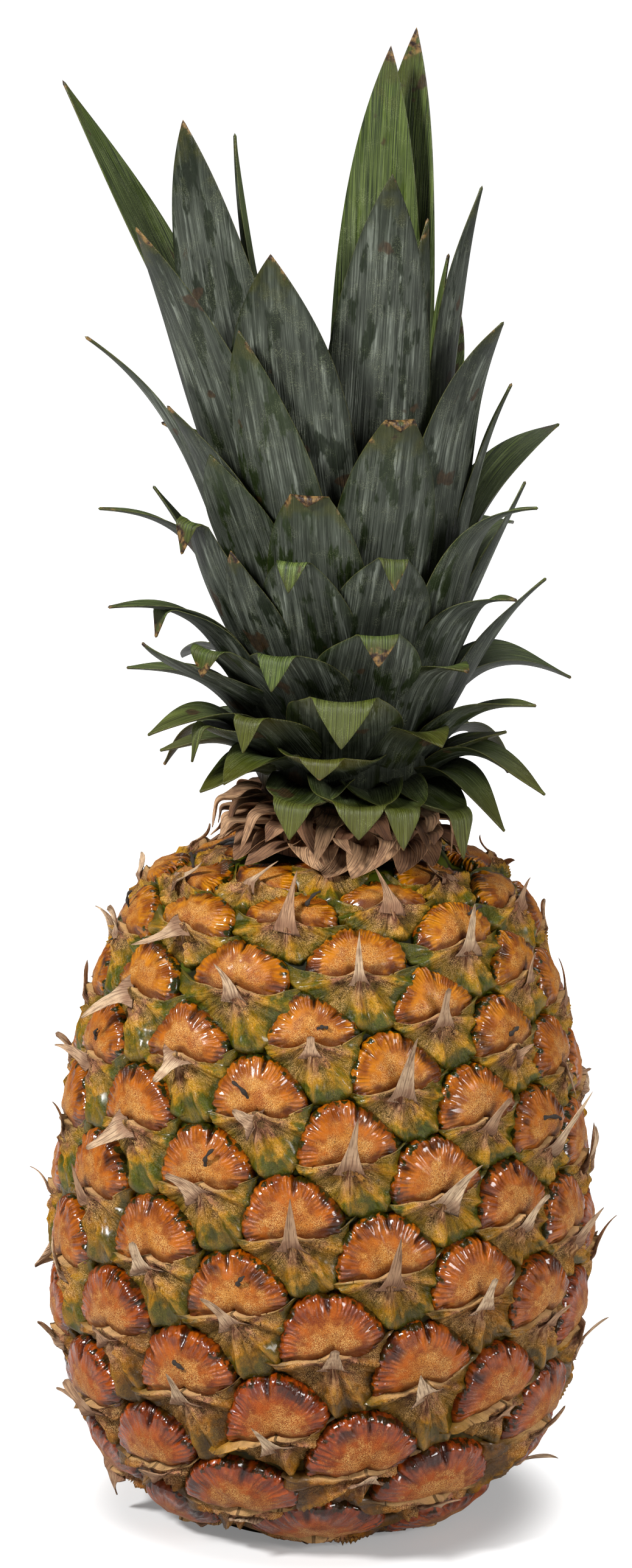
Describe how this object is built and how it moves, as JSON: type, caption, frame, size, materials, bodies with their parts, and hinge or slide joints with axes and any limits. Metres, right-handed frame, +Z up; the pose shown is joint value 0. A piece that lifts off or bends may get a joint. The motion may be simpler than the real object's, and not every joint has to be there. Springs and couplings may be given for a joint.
{
  "type": "pineapple",
  "caption": "Whole ripe pineapple with leafy crown, standing on its base, with raised eyes, dry bract points and a cut stalk.",
  "frame": {"origin": "centre of the cut stalk's face at the bottom of the base, on the surface that the fruit stands on", "axes": "+Z up along the fruit towards the crown, -Y towards the side that the picture shows, +X to the right of that side"},
  "size_m": [0.1409, 0.1403, 0.3459],
  "materials": {
    "fruit_skin": "glossy waxy orange eyes with green grooves, matt tan bracts",
    "cut_wood": "matt fibrous end grain",
    "dry_paper": "matt papery dry leaf",
    "crown_leaf": "satin green leaf with pale powdery bloom"
  },
  "bodies": {
    "root": {"fruit": "fruit_skin", "cut_stalk": "cut_wood", "dry_collar": "dry_paper", "crown": "crown_leaf"}
  },
  "joints": []
}
